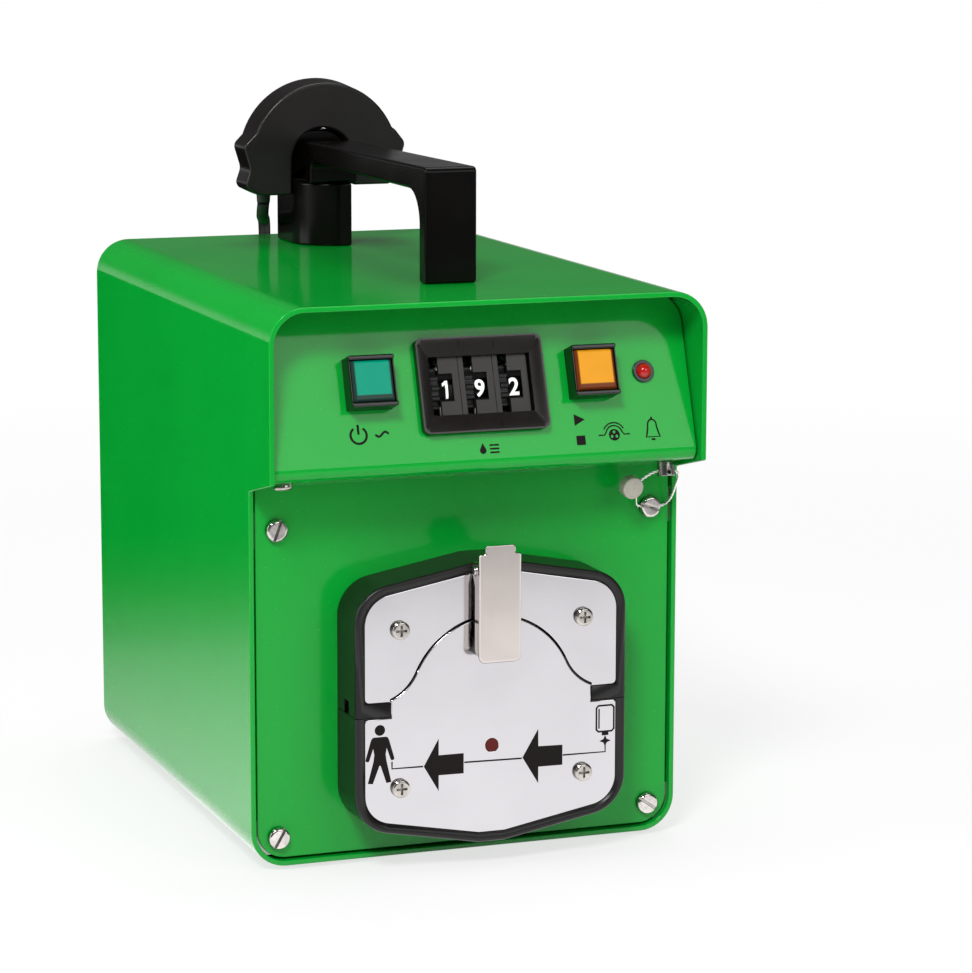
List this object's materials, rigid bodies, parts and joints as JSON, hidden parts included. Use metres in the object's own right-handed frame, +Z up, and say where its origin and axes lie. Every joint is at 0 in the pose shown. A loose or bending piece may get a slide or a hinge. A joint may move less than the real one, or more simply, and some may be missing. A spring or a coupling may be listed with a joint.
{
  "type": "infusion pump",
  "caption": "Bench-top roller infusion pump in a folded green metal case with push buttons, thumbwheel switch, pump head with latch lever, carrying handle and clip-on drop sensor",
  "frame": {"origin": "middle of the footprint, on the surface the feet stand on", "axes": "+Z up, -Y the front with the buttons and the pump head, +X to the right seen from the front"},
  "size_m": [0.2, 0.3938, 0.3314],
  "materials": {
    "green_paint": "glossy stoved enamel on folded steel sheet",
    "zinc_steel": "zinc-plated steel sheet and pressed parts",
    "plated_metal": "bright nickel plating",
    "ground_steel": "ground steel",
    "face_metal": "satin stainless sheet",
    "cast_alloy": "cast alloy",
    "black_plastic": "moulded, satin",
    "black_gloss": "smooth black moulding",
    "digit_plastic": "black with white numerals",
    "teal_lens": "translucent lens cap",
    "orange_lens": "translucent lens cap",
    "amber_lens": "clear moulded lamp",
    "red_lens": "clear window",
    "rotor_plastic": "machined acetal",
    "core_iron": "varnished laminations",
    "copper_winding": "taped and varnished winding",
    "battery_case": "moulded case",
    "board_green": "solder-masked laminate",
    "black_rubber": "moulded rubber",
    "tie_plastic": "nylon",
    "seal_wire": "twisted sealing wire",
    "lead": "pressed lead"
  },
  "bodies": {
    "pump": {"alarm_lamp": "amber_lens", "alarm_lamp_bezel": "black_plastic", "battery_block": "battery_case", "bearing_housing": "cast_alloy", "block_face_plate": "face_metal", "board_pillars": "zinc_steel", "cable_coil": "black_rubber", "cable_drop": "black_rubber", "cable_rise": "black_rubber", "cable_tie": "tie_plastic", "case_brackets": "zinc_steel", "case_wrap": "green_paint", "control_panel": "green_paint", "cross_head_screws": "plated_metal", "drive_motor": "zinc_steel", "feet": "black_rubber", "front_plate": "green_paint", "fuse_holder": "black_plastic", "gearbox": "cast_alloy", "guide_rods": "ground_steel", "handle": "black_gloss", "handle_rear_post": "black_gloss", "latch_catch": "black_plastic", "main_board": "board_green", "mains_button_housing": "black_plastic", "mains_inlet": "black_plastic", "pump_block": "black_plastic", "rear_panel": "green_paint", "run_window": "red_lens", "seal_disc": "lead", "seal_wire": "seal_wire", "sealing_screw": "plated_metal", "sensor_plug": "black_rubber", "sensor_socket": "plated_metal", "shaft_bearings": "ground_steel", "slotted_screws": "plated_metal", "start_button_housing": "black_plastic", "thumbwheel_bezel": "black_plastic", "thumbwheel_modules": "black_plastic", "transformer_core": "core_iron", "transformer_winding": "copper_winding"},
    "mains_button": {"mains_button_cap": "teal_lens"},
    "start_button": {"start_button_cap": "orange_lens"},
    "wheel_1": {"digit_wheel_1": "digit_plastic"},
    "wheel_2": {"digit_wheel_2": "digit_plastic"},
    "wheel_3": {"digit_wheel_3": "digit_plastic"},
    "jaw": {"pressure_jaw": "black_plastic", "jaw_face_plate": "face_metal", "jaw_plate_screws": "plated_metal", "latch_pin": "ground_steel"},
    "lever": {"latch_lever": "face_metal"},
    "rotor": {"rotor": "rotor_plastic", "drive_shaft": "ground_steel"},
    "roller_a": {"roller_1": "ground_steel"},
    "roller_b": {"roller_2": "ground_steel"},
    "roller_c": {"roller_3": "ground_steel"},
    "fuse": {"fuse_cap": "black_plastic"},
    "sensor": {"drop_sensor": "black_plastic", "cable_gland": "black_rubber"}
  },
  "joints": [
    {"name": "mains_button_press", "type": "slide", "parent": "pump", "child": "mains_button", "axis": [0, 0.9466, -0.3223], "range_m": [0, 0.003], "stiffness_N_per_m": 600, "springref_m": -0.001},
    {"name": "start_button_press", "type": "slide", "parent": "pump", "child": "start_button", "axis": [0, 0.9466, -0.3223], "range_m": [0, 0.003], "stiffness_N_per_m": 600, "springref_m": -0.001},
    {"name": "wheel_1_turn", "type": "hinge", "parent": "pump", "child": "wheel_1", "pos_m": [-0.01775, -0.1204, 0.20809], "axis": [1, 0, 0], "continuous": true},
    {"name": "wheel_2_turn", "type": "hinge", "parent": "pump", "child": "wheel_2", "pos_m": [-0.0019, -0.1204, 0.20809], "axis": [1, 0, 0], "continuous": true},
    {"name": "wheel_3_turn", "type": "hinge", "parent": "pump", "child": "wheel_3", "pos_m": [0.01395, -0.1204, 0.20809], "axis": [1, 0, 0], "continuous": true},
    {"name": "lever_swing", "type": "hinge", "parent": "jaw", "child": "lever", "pos_m": [0.0032, -0.14515, 0.1339], "axis": [-1, 0, 0], "range_deg": [0, 90]},
    {"name": "jaw_lift", "type": "slide", "parent": "pump", "child": "jaw", "axis": [0, 0, 1], "range_m": [0, 0.012]},
    {"name": "rotor_turn", "type": "hinge", "parent": "pump", "child": "rotor", "pos_m": [0.0032, -0.12875, 0.074], "axis": [0, 1, 0], "continuous": true},
    {"name": "roller_a_turn", "type": "hinge", "parent": "rotor", "child": "roller_a", "pos_m": [0.0032, -0.12875, 0.0975], "axis": [0, 1, 0], "continuous": true},
    {"name": "roller_b_turn", "type": "hinge", "parent": "rotor", "child": "roller_b", "pos_m": [-0.01715, -0.12875, 0.06225], "axis": [0, 1, 0], "continuous": true},
    {"name": "roller_c_turn", "type": "hinge", "parent": "rotor", "child": "roller_c", "pos_m": [0.02355, -0.12875, 0.06225], "axis": [0, 1, 0], "continuous": true},
    {"name": "fuse_cap_turn", "type": "hinge", "parent": "pump", "child": "fuse", "pos_m": [-0.018, 0.14075, 0.048], "axis": [0, 1, 0], "range_deg": [0, 90]},
    {"name": "sensor_lift", "type": "slide", "parent": "pump", "child": "sensor", "axis": [0, 0, 1], "range_m": [0, 0.03]}
  ],
  "couplings": [
    {"joint": "roller_a_turn", "follows": "rotor_turn", "ratio": -3.9375},
    {"joint": "roller_b_turn", "follows": "rotor_turn", "ratio": -3.9375},
    {"joint": "roller_c_turn", "follows": "rotor_turn", "ratio": -3.9375}
  ]
}
